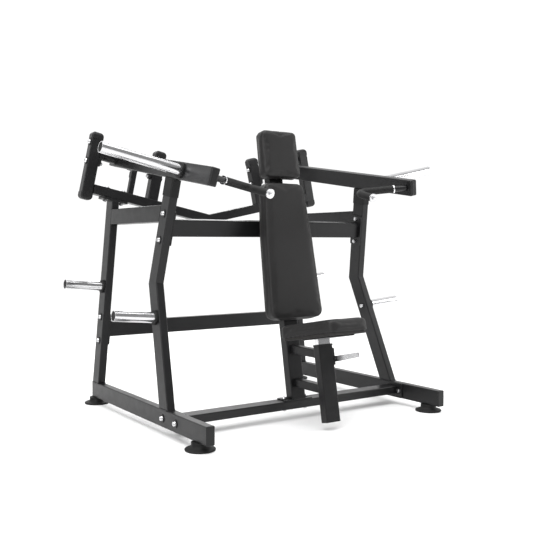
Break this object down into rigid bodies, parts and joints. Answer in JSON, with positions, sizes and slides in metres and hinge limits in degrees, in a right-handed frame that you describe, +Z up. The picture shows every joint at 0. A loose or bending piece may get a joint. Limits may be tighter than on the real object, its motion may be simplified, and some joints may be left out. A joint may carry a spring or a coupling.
{
  "type": "plate_loaded_press_machine",
  "caption": "Plate-loaded seated overhead press machine with independent lever arms, chrome weight horns and black padded seat",
  "frame": {"origin": "on the floor, in the middle of the machine's bounding box", "axes": "+Z up; +X across the machine, towards the seat release; -Y the way the seated user faces"},
  "size_m": [1.9332, 1.358, 1.4304],
  "materials": {
    "frame_paint": "satin",
    "cast_black": "satin",
    "chrome": "polished",
    "bright_steel": "satin",
    "washer_black": "satin",
    "black_rubber": "matte",
    "black_plastic": "matte",
    "polished_aluminium": "polished",
    "pad_vinyl": "satin",
    "pad_board": "matte"
  },
  "bodies": {
    "seat": {"seat_post": "chrome", "seat_plate": "frame_paint", "seat_board": "pad_board", "seat_pad": "pad_vinyl"},
    "release_lever": {"release_lever": "chrome"},
    "lock_pin": {"lock_pin": "chrome"},
    "left_arm": {"left_arm_tube": "frame_paint", "left_pivot_sleeve": "frame_paint", "left_pivot_shaft": "bright_steel", "left_arm_horn": "chrome", "left_arm_horn_rubbers": "black_rubber", "left_handle_bar": "frame_paint", "left_hand_grip": "black_rubber", "left_handle_fittings": "polished_aluminium", "left_arm_end_caps": "black_plastic"},
    "right_arm": {"right_arm_tube": "frame_paint", "right_pivot_sleeve": "frame_paint", "right_pivot_shaft": "bright_steel", "right_arm_horn": "chrome", "right_arm_horn_rubbers": "black_rubber", "right_handle_bar": "frame_paint", "right_hand_grip": "black_rubber", "right_handle_fittings": "polished_aluminium", "right_arm_end_caps": "black_plastic"},
    "frame": {"back_pad": "pad_vinyl", "base_cross_beam": "frame_paint", "beam_flange_plates": "frame_paint", "bearing_housings": "cast_black", "bumper_caps": "black_rubber", "frame_bolts": "chrome", "frame_nuts": "bright_steel", "frame_washers": "washer_black", "front_cross_beam": "frame_paint", "head_pad": "pad_vinyl", "inner_pivot_posts": "frame_paint", "left_base_rail": "frame_paint", "left_front_upright": "frame_paint", "left_rear_upright": "frame_paint", "outer_pivot_posts": "frame_paint", "pad_boards": "pad_board", "post_end_caps": "black_plastic", "rail_end_caps": "black_plastic", "rear_cross_beam": "frame_paint", "release_bracket": "cast_black", "right_base_rail": "frame_paint", "right_front_upright": "frame_paint", "right_rear_upright": "frame_paint", "rubber_feet": "black_rubber", "seat_links": "frame_paint", "seat_sleeve": "frame_paint", "side_rails": "frame_paint", "sleeve_bushing": "black_plastic", "spine_bracket": "frame_paint", "spine_post": "frame_paint", "stop_pads": "black_rubber", "stop_posts": "frame_paint", "storage_horn_rubbers": "black_rubber", "storage_horns": "chrome", "vee_beam": "frame_paint", "vee_beam_plates": "frame_paint"}
  },
  "joints": [
    {"name": "right_arm_press", "type": "hinge", "parent": "frame", "child": "right_arm", "pos_m": [0.5391, 0.587, 1.29216], "axis": [-0.9789, 0, -0.2045], "range_deg": [0, 50]},
    {"name": "left_arm_press", "type": "hinge", "parent": "frame", "child": "left_arm", "pos_m": [-0.5391, 0.587, 1.29216], "axis": [-0.9789, 0, 0.2045], "range_deg": [0, 50]},
    {"name": "seat_height", "type": "slide", "parent": "frame", "child": "seat", "axis": [0, 0.1788, 0.9839], "range_m": [0, 0.12]},
    {"name": "seat_release", "type": "hinge", "parent": "frame", "child": "release_lever", "pos_m": [0.06, -0.46564, 0.30866], "axis": [0, 0.1788, 0.9839], "range_deg": [0, 20], "stiffness_Nm_per_rad": 2},
    {"name": "lock_pin_slide", "type": "slide", "parent": "frame", "child": "lock_pin", "axis": [1, 0, 0], "range_m": [0, 0.0095]}
  ],
  "couplings": [
    {"joint": "lock_pin_slide", "follows": "seat_release", "m_per_rad": 0.026}
  ]
}
